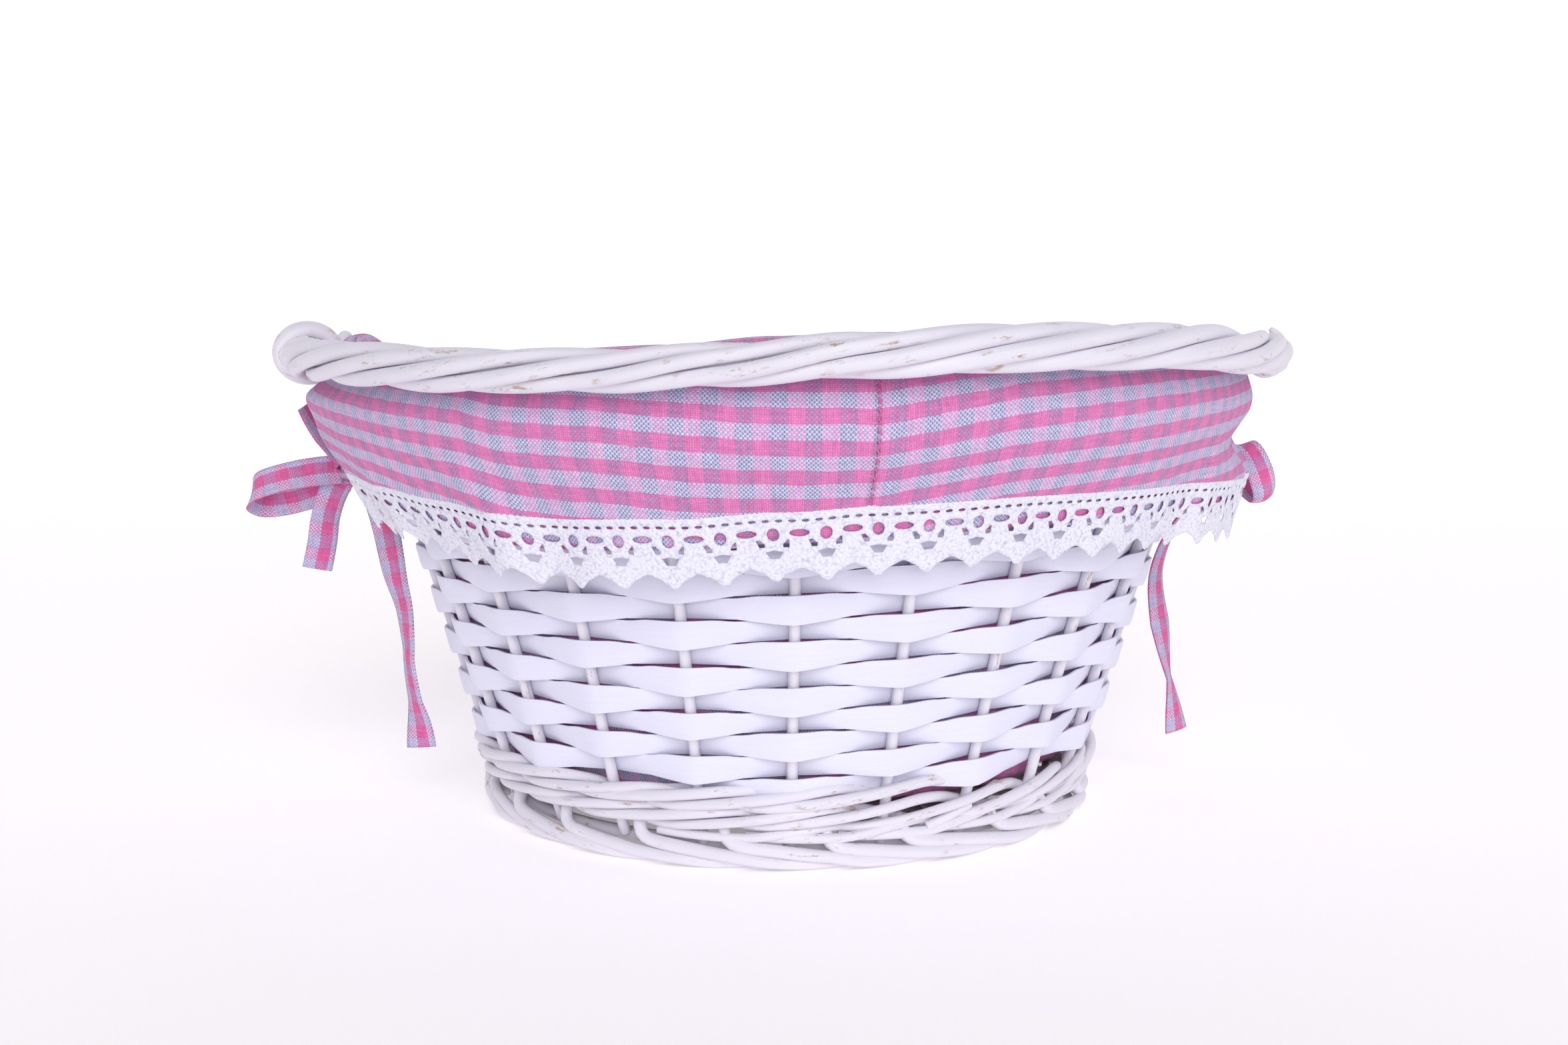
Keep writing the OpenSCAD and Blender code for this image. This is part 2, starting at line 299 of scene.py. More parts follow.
class Nodes:
    """A material's node tree, built a node at a time."""

    def __init__(self, name, roughness=0.5):
        self.material = bpy.data.materials.new(name)
        self.material.use_nodes = True
        self.tree = self.material.node_tree
        self.shader = self.tree.nodes["Principled BSDF"]
        self.shader.inputs["Roughness"].default_value = roughness

    def add(self, kind, inputs=None, **settings):
        node = self.tree.nodes.new(kind)
        for key, value in settings.items():
            setattr(node, key, value)
        for key, value in (inputs or {}).items():
            self.put(node.inputs[key], value)
        return node

    def put(self, socket, value):
        if isinstance(value, bpy.types.NodeSocket):
            self.tree.links.new(value, socket)
        else:
            socket.default_value = value

    def math(self, operation, *values, clamp=False):
        node = self.add("ShaderNodeMath", operation=operation, use_clamp=clamp)
        for socket, value in zip(node.inputs, values):
            self.put(socket, value)
        return node.outputs[0]

    def plus(self, a, b):
        return self.math("ADD", a, b)

    def minus(self, a, b):
        return self.math("SUBTRACT", a, b)

    def times(self, a, b, clamp=False):
        return self.math("MULTIPLY", a, b, clamp=clamp)

    def scaled(self, vector, scale):
        return self.add("ShaderNodeMapping", {"Vector": vector, "Scale": scale}).outputs[0]

    def uv(self, scale_u, scale_v):
        """The UV map, in metres, times a scale for each direction."""
        return self.scaled(self.add("ShaderNodeUVMap", uv_map="UVMap").outputs[0], (scale_u, scale_v, 1))

    def place(self):
        """The place on the object, in metres."""
        return self.scaled(self.add("ShaderNodeTexCoord").outputs["Object"], (1, 1, 1))

    def noise(self, vector, scale, detail=3.0, roughness=0.55):
        inputs = {"Vector": vector, "Scale": scale, "Detail": detail, "Roughness": roughness}
        return self.add("ShaderNodeTexNoise", inputs).outputs[0]

    def ramp(self, value, stops):
        node = self.add("ShaderNodeValToRGB", {"Fac": value})
        elements = node.color_ramp.elements
        for element, (at, color) in zip(elements, stops[:2]):
            element.position, element.color = at, (*color, 1)
        for at, color in stops[2:]:
            elements.new(at).color = (*color, 1)
        return node.outputs[0]

    def mix(self, factor, a, b, blend="MIX"):
        node = self.add("ShaderNodeMix", data_type="RGBA", blend_type=blend)
        self.put(node.inputs["Factor"], factor)
        for socket, value in ((node.inputs[6], a), (node.inputs[7], b)):
            self.put(socket, (*value, 1) if isinstance(value, tuple) and len(value) == 3 else value)
        return node.outputs[2]

    def bump(self, height, strength, distance, normal=None):
        inputs = {"Height": height, "Strength": strength, "Distance": distance}
        if normal is not None:
            inputs["Normal"] = normal
        return self.add("ShaderNodeBump", inputs).outputs[0]

    def finish(self, color, normal=None, roughness=None):
        for key, value in (("Base Color", color), ("Normal", normal), ("Roughness", roughness)):
            if value is not None:
                self.put(self.shader.inputs[key], value)
        return self.material


def srgb(red, green, blue):
    """Linear colour from 0 to 255 display values."""
    def one(v):
        v /= 255
        return v / 12.92 if v <= 0.04045 else ((v + 0.055) / 1.055) ** 2.4
    return (one(red), one(green), one(blue))


def willow_material(name, light, dark, scuff, scuff_from):
    """White paint on willow: lengthwise grain, faint tone changes and small scuffs down to the wood."""
    n = Nodes(name)
    grain = n.noise(n.uv(40, 1500), 1.0, 4, 0.6)
    tone = n.noise(n.place(), 45, 2)
    spots = n.noise(n.uv(120, 420), 1.0, 5, 0.7)
    patches = n.noise(n.place(), 38, 2)
    color = n.mix(n.times(n.plus(grain, tone), 0.5), dark, light)
    worn = n.times(n.minus(spots, scuff_from), 10, clamp=True)
    where = n.times(n.minus(patches, 0.46), 9, clamp=True)
    color = n.mix(n.times(worn, where), color, scuff)
    rough = n.plus(n.times(grain, 0.25), 0.36)
    fine = n.bump(grain, 0.35, 0.0003)
    normal = n.bump(n.noise(n.place(), 260, 3), 0.25, 0.0006, fine)
    return n.finish(color, normal, rough)


# The gingham's checks, across and up, and the distance from yarn to yarn
CHECK = 4.4
CHECK_UP = 4.1
YARN = 0.62


def gingham_material(name, weft_colors, warp_colors):
    """Plain-woven checks: each yarn is coloured by its place, and the weft covers more than the warp; painted
    shade darkens the cloth between the yarns.
    """
    n = Nodes(name, 0.85)
    coords = n.add("ShaderNodeUVMap", uv_map="UVMap")
    split = n.add("ShaderNodeSeparateXYZ", {"Vector": coords.outputs[0]})
    waver = n.noise(n.place(), 160, 2)
    shift = n.times(n.minus(waver, 0.5), 0.9 * MM)
    u = n.plus(split.outputs[0], shift)
    v = n.plus(split.outputs[1], shift)
    along, up = (n.math("DIVIDE", c, YARN * MM) for c in (u, v))
    yarns = n.plus(n.math("FLOOR", along), n.math("FLOOR", up))
    parity = n.math("ABSOLUTE", n.math("MODULO", yarns, 2.0))
    off_middle = n.math("ABSOLUTE", n.minus(n.math("FRACT", along), 0.5))
    weft_on_top = n.math("GREATER_THAN", n.plus(parity, n.times(off_middle, 1.45)), 0.5)
    warp_is_first, weft_is_first = (
        n.math("LESS_THAN", n.math("FLOORED_MODULO", c, 2 * check * MM), check * MM)
        for c, check in ((u, CHECK), (v, CHECK_UP)))
    warp = n.mix(warp_is_first, warp_colors[1], warp_colors[0])
    weft = n.mix(weft_is_first, weft_colors[1], weft_colors[0])
    color = n.mix(weft_on_top, warp, weft)
    slub = n.noise(n.uv(170, 1100), 1.0, 3, 0.6)
    slub_across = n.noise(n.uv(1100, 170), 1.0, 3, 0.6)
    uneven = n.times(n.plus(slub, slub_across), 0.5)
    tone = n.ramp(uneven, [(0.32, (0.70, 0.67, 0.74)), (0.62, (1.0, 1.0, 1.0))])
    color = n.mix(1.0, color, tone, "MULTIPLY")
    bow = [n.math("ABSOLUTE", n.math("SINE", n.times(c, math.pi))) for c in (along, up)]
    thread = n.times(*bow)
    # Painted shade: the cloth is darkened between the yarns, where they dip under each other
    gap = n.ramp(thread, [(0.02, (0.60, 0.52, 0.64)), (0.34, (1, 1, 1))])
    color = n.mix(0.6, color, gap, "MULTIPLY")
    height = n.math("MULTIPLY_ADD", slub, 0.3, thread)
    material = n.finish(color, n.bump(height, 0.6, 0.00025))
    n.shader.inputs["Sheen Weight"].default_value = 0.08
    n.shader.inputs["Sheen Roughness"].default_value = 0.5
    return material


def lace_material():
    """Knotted cotton yarn: short twisted strokes and knots in pale white, with painted shade in the hollows
    between them and painted highlight on their crowns.
    """
    n = Nodes("crochet_cotton", 0.85)
    strokes = n.noise(n.uv(900, 2600), 1.0, 4, 0.65)
    knots = n.add("ShaderNodeTexVoronoi", {"Vector": n.uv(1, 1), "Scale": 1150}).outputs[0]
    height = n.math("MULTIPLY_ADD", n.minus(1.0, knots), 0.8, strokes)
    # Painted shade and painted highlight: the colour follows the height, darker in the hollows and lighter on
    # the crowns
    stops = [(0.40, srgb(196, 194, 222)), (0.70, srgb(232, 231, 249)), (1.0, srgb(247, 246, 255))]
    return n.finish(n.ramp(height, stops), n.bump(height, 0.6, 0.0005))


def thread_material(name, light, dark):
    n = Nodes(name, 0.7)
    twist = n.noise(n.uv(2500, 900), 1.0, 2)
    return n.finish(n.mix(twist, dark, light), n.bump(twist, 0.5, 0.0002))


gingham = gingham_material(
    "pink_gingham", (srgb(251, 140, 198), srgb(232, 228, 254)), (srgb(247, 150, 214), srgb(146, 160, 202)))
ribbon_gingham = gingham_material(
    "ribbon_gingham", (srgb(250, 116, 180), srgb(232, 222, 250)), (srgb(246, 116, 176), srgb(186, 184, 222)))
lace_cotton = lace_material()
seam_thread = thread_material("pink_thread", srgb(240, 130, 186), srgb(196, 84, 140))
rod_material = willow_material(
    "white_willow_rod", srgb(243, 240, 249), srgb(221, 217, 229), srgb(180, 154, 124), 0.57)
# Painted shade: the base is coloured dark so that the gaps over the foot look dark
painted_shade_base_material = willow_material(
    "base_willow_painted_shade", srgb(150, 144, 146), srgb(112, 104, 104), srgb(120, 98, 78), 0.5)
skein_material = willow_material(
    "white_split_willow", srgb(242, 242, 255), srgb(226, 226, 249), srgb(212, 206, 208), 0.70)


# --- Camera, light and floor ---

CAMERA_AT = (-0.0008, -0.620, 0.1617)
CAMERA_DOWN = 6.38
LENS = 41.45
camera_data = bpy.data.cameras.new("camera")
camera = linked("camera", camera_data)
bpy.context.scene.camera = camera
camera.location = CAMERA_AT
camera.rotation_euler = (math.radians(90 - CAMERA_DOWN), 0, 0)
camera_data.sensor_width = 36
camera_data.lens = LENS
camera_data.clip_start = 0.01

bpy.context.scene.view_settings.view_transform = "Standard"
WORLD_STRENGTH = 0.34
world = bpy.data.worlds.new("studio")
bpy.context.scene.world = world
world.use_nodes = True
world.node_tree.nodes["Background"].inputs["Color"].default_value = (*srgb(250, 249, 255), 1)
world.node_tree.nodes["Background"].inputs["Strength"].default_value = WORLD_STRENGTH

KEY_PLACE = Vector((0.22, -1.5, 0.85))
KEY_AIM = Vector((0, 0, 0.1))
key_data = bpy.data.lights.new("key", "SUN")
key_data.energy = 1.68
key_data.angle = math.radians(45)
key_data.color = (0.985, 0.985, 1.0)
key = linked("key", key_data)
key.location = KEY_PLACE
key.rotation_euler = (KEY_AIM - KEY_PLACE).to_track_quat("-Z", "Y").to_euler()

SWEEP_FROM = 2.0  # where the floor starts to curve up into the backdrop
SWEEP_R = 2.5
FLOOR_NEAR = -4.0
FLOOR_SIDE = 8.0
BACKDROP_TOP = 6.0


def make_studio():
    """A floor that sweeps up into a backdrop, so that no horizon shows."""
    n = Nodes("pale_floor", 0.9)
    n.finish(n.mix(n.noise(n.place(), 3, 2), srgb(252, 249, 250), srgb(254, 251, 252)))
    # the photograph's ground is as bright as its backdrop, so this one gives off a little light of its own
    n.shader.inputs["Emission Color"].default_value = (1.0, 0.98, 0.985, 1)
    n.shader.inputs["Emission Strength"].default_value = 0.27
    turn = radians(linspace(0, 90, 25))
    curve = zip(SWEEP_FROM + SWEEP_R * sin(turn), SWEEP_R * (1 - cos(turn)))
    profile = [(FLOOR_NEAR, 0.0), *curve, (SWEEP_FROM + SWEEP_R, BACKDROP_TOP)]
    mesh = bpy.data.meshes.new("studio_floor")
    points = [(x, y, z) for y, z in profile for x in (-FLOOR_SIDE, FLOOR_SIDE)]
    faces = [(2 * i, 2 * i + 1, 2 * i + 3, 2 * i + 2) for i in range(len(profile) - 1)]
    mesh.from_pydata(points, [], faces)
    mesh.shade_smooth()
    mesh.materials.append(n.material)
    linked("studio_floor", mesh)


make_studio()

# --- Wicker ---


def dress(piece, material, node=None, body="basket"):
    """Gives a piece its material and its body, and hides the CAD node that it stands for."""
    piece.data.materials.append(material)
    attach(piece, body)
    if node:
        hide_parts(node)
    return piece


def rods(shape, name, node, body="basket", material=rod_material, **options):
    return dress(shape.object(name, **options), material, node, body)


def make_stakes():
    rng = np.random.default_rng(3)
    shape = Shape()
    z = linspace(FOOT_TOP - 2, BORDER_Z - BORDER_ROD + 1, 26)
    for i in range(STAKES):
        lean = wobble(rng, len(z), 0.35, 5)
        azimuth = STAKE_PHASE + i * STAKE_STEP + np.degrees(lean / stake_line(z))
        size = STAKE_R * (1 + wobble(rng, len(z), 0.04, 6))
        add_tube(shape, around(stake_line(z), azimuth, z), size, lengthwise=i * 170)
    rods(shape, "stakes_round", "stakes")


WEAVE_LOW = 25.6
WEAVE_TOP = 136.6
WEAVE_PITCH = 7.05
SKEINS = 6
SKEIN_T = 1.15
SKEIN_H = 6.5
SKEIN_GAP = 0.3
STEPS_A_STAKE = 14
# How far the weave climbs from the left side to the right, either side of its height at the front
SKEIN_LEAN = 3.0
# How far, in stakes, the first skein starts before its first stake, thin and behind the wall
START_RUN = 1.45
SHARPNESS = 0.992  # how straight a skein runs from stake to stake, below 1
WALL_GIRTH_R = 120  # the radius that gives the grain its length round the wall


def make_skein(index, first, last, rng):
    """A flat skein that winds round the wall, outside one stake and inside the next."""
    start = first - START_RUN if first == 0 else first
    at = linspace(start, last, round((last - start) * STEPS_A_STAKE) + 1)
    peak = np.arcsin(SHARPNESS * cos(np.pi * at)) / math.asin(SHARPNESS)
    bend = (STAKE_R + SKEIN_GAP + SKEIN_T / 2) * peak
    outside = clip(peak, 0, 1)
    knots = arange(math.floor(start) - 1, last + 2)
    azimuth = STAKE_PHASE + at * STAKE_STEP
    z = WEAVE_LOW + WEAVE_PITCH * at / STAKES + SKEIN_LEAN * sin(radians(azimuth))
    z = z + interp(at, knots, rng.uniform(-0.3, 0.3, len(knots)))
    height = SKEIN_H + interp(at, knots, rng.uniform(-0.45, 0.25, len(knots)))
    if first == 0:
        height = height * eased(at, [(start, 0.3), (start + 1.0, 1), (last, 1)])
    plateau = eased(outside, [(0, 0), (0.45, 1), (1, 0.85)])
    across = linspace(-1, 1, 7)
    length = at * TAU * WALL_GIRTH_R / STAKES
    points, uv = [], []
    for across_at, face in [(a, 1) for a in across] + [(a, -1) for a in across[::-1]]:
        edge = 0.5 * SKEIN_T * (0.72 if abs(across_at) > 0.99 else 1.0)
        stretch = 0.6 * plateau if across_at > 0 else 1.75 * outside
        up = across_at * (height / 2 + stretch)
        swell = 0.28 * (1 - across_at**2) * (1 if face > 0 else 0.6)
        flare = 0.5 * outside * (across_at < 0) * abs(across_at)
        radius = stake_line(z) + bend + face * edge + swell + WALL_SLOPE * up + flare
        points.append(around(radius, azimuth, z + up))
        uv.append(uv_grid(length, across_at * SKEIN_H / 2 + (20 if face < 0 else 0)))
    shape = Shape()
    points = stack(points, 1)
    shape.tube(points, stack(uv, 1), (points[0].mean(0), points[-1].mean(0)))
    piece = shape.object(f"side_skein_{index}", sharp_angle=18)
    dress(piece, skein_material, f"side_weaver_{index}")


def make_skeins():
    rng = np.random.default_rng(5)
    steps = math.floor(STAKES * (WEAVE_TOP - WEAVE_LOW) / WEAVE_PITCH)
    each = math.ceil(steps / SKEINS)
    for i in range(SKEINS):
        make_skein(i + 1, i * each, min((i + 1) * each, steps), rng)


WALE_ROD = 1.6
WALE_RODS = 3
WALE_RUN = 47.4  # how far each rod runs, in stakes
WALE_START = -2
WALE_BELOW = 10.2  # how far below the CAD's top round the wale starts
WALE_CLIMB = 6.3  # how much it climbs in a round
# How steeply the wale's rods cross their round, in millimetres a stake, by azimuth
WALE_SLANT = [(-90, 2.6), (-40, 2.8), (-5, 3.2), (25, 4.6), (60, 5.4), (90, 4.6), (180, 3.2), (240, 2.8)]
# One rod's way over three stakes: how far it lies out or in, and above or below its line, as shares
WALE_PHASES = [0, 0.5, 1, 1.5, 2, 2.5, 3]
WALE_OUT = [0.2, 0.95, 1.12, 1.05, 0.3, -1.0, 0.2]
WALE_UP = [-1.0, -0.55, 0, 0.55, 1.0, 0, -1.0]
# Rod ends that were cut off short where one rod follows another: azimuth, height and slope
WALE_ENDS = [(13, 10.6, 0.30), (24, 11.4, 0.34), (-118, 12, 0.2), (140, 12, 0.2), (60, 13.4, 0.4)]


def make_foot_wale():
    """Three rods that wind round together, outside two stakes and inside one, a stake behind each other."""
    rng = np.random.default_rng(11)
    shape = Shape()
    soft = np.ones(5) / 5
    reach = STAKE_R + WALE_ROD + 0.1
    for k in range(WALE_RODS):
        first = WALE_START + k
        at = arange(first * 8, (first + WALE_RUN) * 8 + 1) / 8
        phase = (at - WALE_START - k) % WALE_RODS
        azimuth = STAKE_PHASE + (at + 0.5) * STAKE_STEP
        offset = interp(phase, WALE_PHASES, WALE_OUT) * reach
        rise = interp(phase, WALE_PHASES, WALE_UP) * eased(azimuth, WALE_SLANT, 360)
        offset, rise = (np.convolve(np.pad(v, 2, mode="edge"), soft, "valid") for v in (offset, rise))
        line_z = WALE_Z - WALE_BELOW + WALE_CLIMB * (at - WALE_START - k) / STAKES
        z = np.maximum(line_z + rise + wobble(rng, len(at), 0.35, 36), FOOT_TOP + 0.6)
        line = stake_line(z) + offset + wobble(rng, len(at), 0.3, 36)
        size = WALE_ROD * (1 + wobble(rng, len(at), 0.12, 26))
        add_tube(shape, around(line, azimuth, z), size, taper=(0.4, 0.4), lengthwise=k * 2300)
    run = linspace(0, 15, 10)
    for azimuth, z, slope in WALE_ENDS:
        out = stake_line(z) + STAKE_R + 1.6 + 1.2 * sin(np.pi * run / 30)
        path = around(out, azimuth + np.degrees(run / 108), z + slope * run)
        size = linspace(1.3, 1.75, 10)
        add_tube(shape, path[::-1], size, 10, taper=(1, 0.05), lengthwise=azimuth * 10)
    rods(shape, "foot_wale_rods", "foot_wale", sharp_angle=50)


FOOT_ROD = 1.9
FOOT_ROD_STEPS = 40
FLOOR_GAP = 0.03
# A border rod's line: stakes along the foot, how far outside the foot's radius, and height
FOOT_WAY = [(-0.08, -1.6, 14.0), (-0.05, 0.0, 10.6), (0.02, 0.9, 8.0), (0.20, 1.2, 6.7), (0.60, 1.4, 5.5),
            (1.00, 1.6, 4.2), (1.40, 1.5, 2.9), (1.80, 0.0, 2.05), (2.20, -2.2, 1.95), (2.50, -4.0, 1.95)]
FOOT_TAPER = interp(linspace(0, 1, FOOT_ROD_STEPS), [0, 0.2, 1], [1.05, 1.08, 0.84])


def make_foot_border():
    """Rods that come down behind the wale, bend to the right and run down under the next ones."""
    rng = np.random.default_rng(17)
    shape = Shape()
    for i in range(STAKES):
        azimuth = STAKE_PHASE + (i + 0.35) * STAKE_STEP + rng.uniform(-1.6, 1.6)
        lift = rng.uniform(-0.5, 0.5)
        way = [around(FOOT_R + out, azimuth + t * STAKE_STEP, z + lift * (z > 4)) for t, out, z in FOOT_WAY]
        path = smooth_path(way, FOOT_ROD_STEPS)
        size = FOOT_ROD * (1 + 0.10 * rng.uniform(-1, 1)) * FOOT_TAPER
        size = size * (1 + wobble(rng, FOOT_ROD_STEPS, 0.05, 9))
        path[:, 2] = np.maximum(path[:, 2], size + FLOOR_GAP)
        add_tube(shape, path, size, 14, lengthwise=i * 130)
    # The inner ring that the border rods lie against
    ring = around(FOOT_R - 6.4, linspace(0, 352, 90), FOOT_TOP - 3.4)
    add_tube(shape, ring, 2.0, 10, lengthwise=4000)
    rods(shape, "foot_border_rods", "foot_border")


RIM_DIP = [(-90, 0), (-72, -2.4), (-50, -3.6), (-34, -4.0), (-18, -2.6), (-6, -1.2), (8, 0), (90, 0),
           (166, -0.3), (182, -1.9), (200, -5.4), (226, -7.6), (246, -6.4), (260, -4.0)]
# A border rod's line: stakes along the rim, then how far outside and above the border's own line
RIM_WAY = [(0.0, -2.2, -5.0), (0.03, -1.6, -1.5), (0.2, -0.4, 1.2), (0.7, 1.4, 1.7), (1.3, 1.9, 0.4),
           (1.9, 1.0, -1.5), (2.3, -0.9, -1.9)]
RIM_ROD = 1.8


def rim_dip(azimuth):
    """How far the rim hangs below its height at the hinges, as the basket was woven."""
    return eased(azimuth, RIM_DIP, 360)


def make_rim():
    """The rolled border, whose rods each lie over two stakes and tuck in behind the third, and its wale."""
    rng = np.random.default_rng(23)
    shape = Shape()
    for i in range(STAKES):
        azimuth = STAKE_PHASE + i * STAKE_STEP + rng.uniform(-1, 1)
        way = [around(BORDER_R + out, azimuth + t * STAKE_STEP, BORDER_Z + up) for t, out, up in RIM_WAY]
        path = smooth_path(way, 26)
        path[:, 2] += rim_dip(np.degrees(np.arctan2(path[:, 0], -path[:, 1])))
        add_tube(shape, path, RIM_ROD, 10, lengthwise=i * 90)
    rods(shape, "rim_border_rods", "rim_border")
    shape = Shape()
    at = linspace(0, STAKES, STAKES * 8 + 1)
    for side in (-1, 1):
        bend = side * cos(np.pi * at) * (STAKE_R + RIM_WALE_R)
        z = RIM_WALE_Z + side * 0.9 * sin(np.pi * at)
        path = around(stake_line(z) + bend, STAKE_PHASE + at * STAKE_STEP, z)
        add_tube(shape, path, RIM_WALE_R * 0.95, 10, lengthwise=side * 900)
    rods(shape, "rim_wale_rods", "rim_wale")


BASE_REACH = 94.0
BASE_HUB = 20.0
BASE_ARMS = 16
BASE_LANE = 4.2  # from one stick to the next at the middle
BASE_FAN = 22.5  # degrees from one stick to the next where they splay
BASE_STICK_R = 1.9
BASE_WEAVER_R = 1.2
BASE_ROUNDS = 23


def make_base():
    """Eight sticks that cross in the middle and splay, with rounds woven over and under their arms."""
    level = (box_mm("base_sticks_lower")[0][2] + box_mm("base_sticks_upper")[1][2]) / 2
    rng = np.random.default_rng(31)
    far = linspace(BASE_HUB, BASE_REACH, 12)
    for name, across, drop in (("lower", False, -2.0), ("upper", True, 2.0)):
        shape = Shape()
        for i in range(4):
            lane = i - 1.5
            fan = math.radians(lane * BASE_FAN)
            x = BASE_HUB + (far - BASE_HUB) * math.cos(fan)
            y = lane * BASE_LANE + (far - BASE_HUB) * math.sin(fan)
            x = concatenate([-x[::-1], linspace(-BASE_HUB, BASE_HUB, 7)[1:-1], x])
            y = concatenate([y[::-1], np.full(5, lane * BASE_LANE), y])
            z = level + drop * eased(np.hypot(x, y), [(0, 1), (22, 1), (44, 0), (100, 0)])
            path = stack([y, x, z] if across else [x, y, z], -1)
            add_tube(shape, path, BASE_STICK_R, 10, lengthwise=i * 200)
        rods(shape, f"base_sticks_{name}_round", f"base_sticks_{name}", material=painted_shade_base_material)
    shape = Shape()
    turn = linspace(0, TAU, BASE_ARMS * 8 + 1)
    for k in range(BASE_ROUNDS):
        radius = 27.0 + k * 2.86 + rng.uniform(-0.2, 0.2)
        lift = (BASE_STICK_R + BASE_WEAVER_R * 0.8) * cos(BASE_ARMS / 2 * turn + k * math.pi)
        x, y = radius * cos(turn + TAU / 32), radius * sin(turn + TAU / 32)
        size = BASE_WEAVER_R * (1 + wobble(rng, len(turn), 0.05, 20))
        add_tube(shape, stack([x, y, level + lift], -1), size, 8, lengthwise=k * 500)
    rods(shape, "base_rounds", "base_weave", material=painted_shade_base_material)


ROPE_SAG = [(-90, 0), (-70, -0.7), (-54, -1.4), (-32, -2.6), (-18, -2.1), (-6, -0.4), (7, 2.2), (22, 3.9),
            (42, 3.8), (60, 1.5), (76, 0.3), (90, 0)]
ROPE_FULLNESS = [(-90, 1.0), (-50, 1.0), (-8, 0.92), (20, 1.03), (60, 1.04), (90, 1.0)]
ROPE_END = 88.2
ROPE_TWIST = 6.0  # degrees that the rods turn in one degree round the bail
ROPE_RODS = 5
STRAND_R = 2.3
CORE_R = 2.0
PIN_R = 2.8
PIN_FROM = 148.9


def rope_sag(azimuth):
    """How far the folded rope's centre lies above or below the hinge axis, as the bent willow came out."""
    return eased(azimuth, ROPE_SAG)


def make_handle():
    """The rope: a core with its two hinge pins, and five rods that wind round it."""
    rng = np.random.default_rng(29)
    lay_r = ROPE_R - STRAND_R + 0.1
    count = 240
    b = linspace(-ROPE_END, ROPE_END, count)
    full = eased(b, ROPE_FULLNESS)
    for k in range(ROPE_RODS):
        lay = radians(360 * k / ROPE_RODS + ROPE_TWIST * b) + wobble(rng, count, 0.10, 9)
        radius = lay_r * full + wobble(rng, count, 0.16, 12)
        size = STRAND_R * full * (1 + wobble(rng, count, 0.07, 14))
        path = around(BAIL_R + radius * cos(lay), b, HINGE_Z + rope_sag(b) + radius * sin(lay))
        shape = Shape()
        add_tube(shape, path, size, 16, lengthwise=k * 600)
        rods(shape, f"handle_strand_{k + 1}", f"handle_rod_{k + 1}", "handle")
    shape = Shape()
    b = linspace(-ROPE_END, ROPE_END, 120)
    add_tube(shape, around(BAIL_R, b, HINGE_Z + rope_sag(b)), CORE_R)
    pin_to = box_mm("handle_core")[1][0] - 0.5
    for side in (-1, 1):
        pin = [(side * x, 0, HINGE_Z) for x in linspace(PIN_FROM, pin_to, 8)]
        add_tube(shape, pin, PIN_R, 16, taper=(0.1, 0.5), lengthwise=900 * side)
    rods(shape, "handle_core_rod", "handle_core", "handle")


def collar_place(side):
    """The middle and the radius of the CAD's collar."""
    low, high = box_mm(f"handle_collar_{side}")
    return (low + high) / 2, (high[2] - low[2]) / 2


def make_left_collar():
    """A flat split rod round the rope's left end, thicker at its top and its left."""
    centre, collar_r = collar_place("left")
    share = linspace(0, 1, 100)
    turn = radians(-70 + 378 * share)
    thick = 1.5 + 1.1 * clip(sin(turn), 0, 1) + 0.5 * clip(-cos(turn), 0, 1)
    thick = thick * interp(share, [0, 0.05, 0.95, 1], [0.4, 1, 1, 0.4])
    outer = collar_r - 0.1 + 0.3 * cos(2 * turn)
    out = stack([cos(turn), np.zeros_like(turn), sin(turn)], -1)
    path = centre + out * (outer - thick)[:, None]
    path[:, 1] += out[:, 0] * math.sin(math.radians(20)) * 9 - 1.6
    way = array([-0.15, 1.0, 0.0])
    half_width = 3.3
    points = []
    for a in linspace(0, TAU, 17)[:-1]:
        wide = half_width * math.copysign(abs(math.cos(a)) ** 0.7, math.cos(a))
        points.append(path + (way + 0.22 * out) * wide + out * (thick * math.sin(a))[:, None])
    length = lengths_along(path)
    shape = Shape()
    uv = uv_grid(length[:, None], arange(16)[None] * 0.8)
    shape.tube(stack(points, 1), uv, (path[0], path[-1]), ((0, 0), (length[-1] * MM, 0)))
    rods(shape, "handle_collar_left_wound", "handle_collar_left", "handle", sharp_angle=60)


def make_right_collar():
    """A round rod that is wound once round the rope's right end, steeply."""
    centre, collar_r = collar_place("right")
    rod = 1.7
    share = linspace(0, 1, 80)
    turn = radians(175 + 250 * share)
    radius = collar_r - rod - 1.4 + 1.8 * share**4
    x, z = centre[0] + radius * cos(turn) - 0.4, centre[2] + radius * sin(turn)
    shape = Shape()
    size = rod * interp(share, [0, 0.1, 0.9, 1], [0.7, 1.0, 1.0, 0.6])
    add_tube(shape, stack([x, centre[1] - 8.5 + 11.5 * share, z], -1), size, 14)
    rods(shape, "handle_collar_right_wound", "handle_collar_right", "handle")


# --- Cloth ---

CLOTH_T = 0.7
FRONT_SEAM = 9
BACK_SEAM = 189
SLIT = 6.0
FOLD_R = BORDER_ROD + 1.15
# The skirt's profile: share of the way down, radius and height
SKIRT_LINE = [(0, 150.1, 149.8), (0.17, 152.8, 144.2), (0.33, 154.4, 137.8), (0.57, 152.4, 127.6),
              (1, 142.2, 111.3)]
SKIRT_LENGTH = 40.6
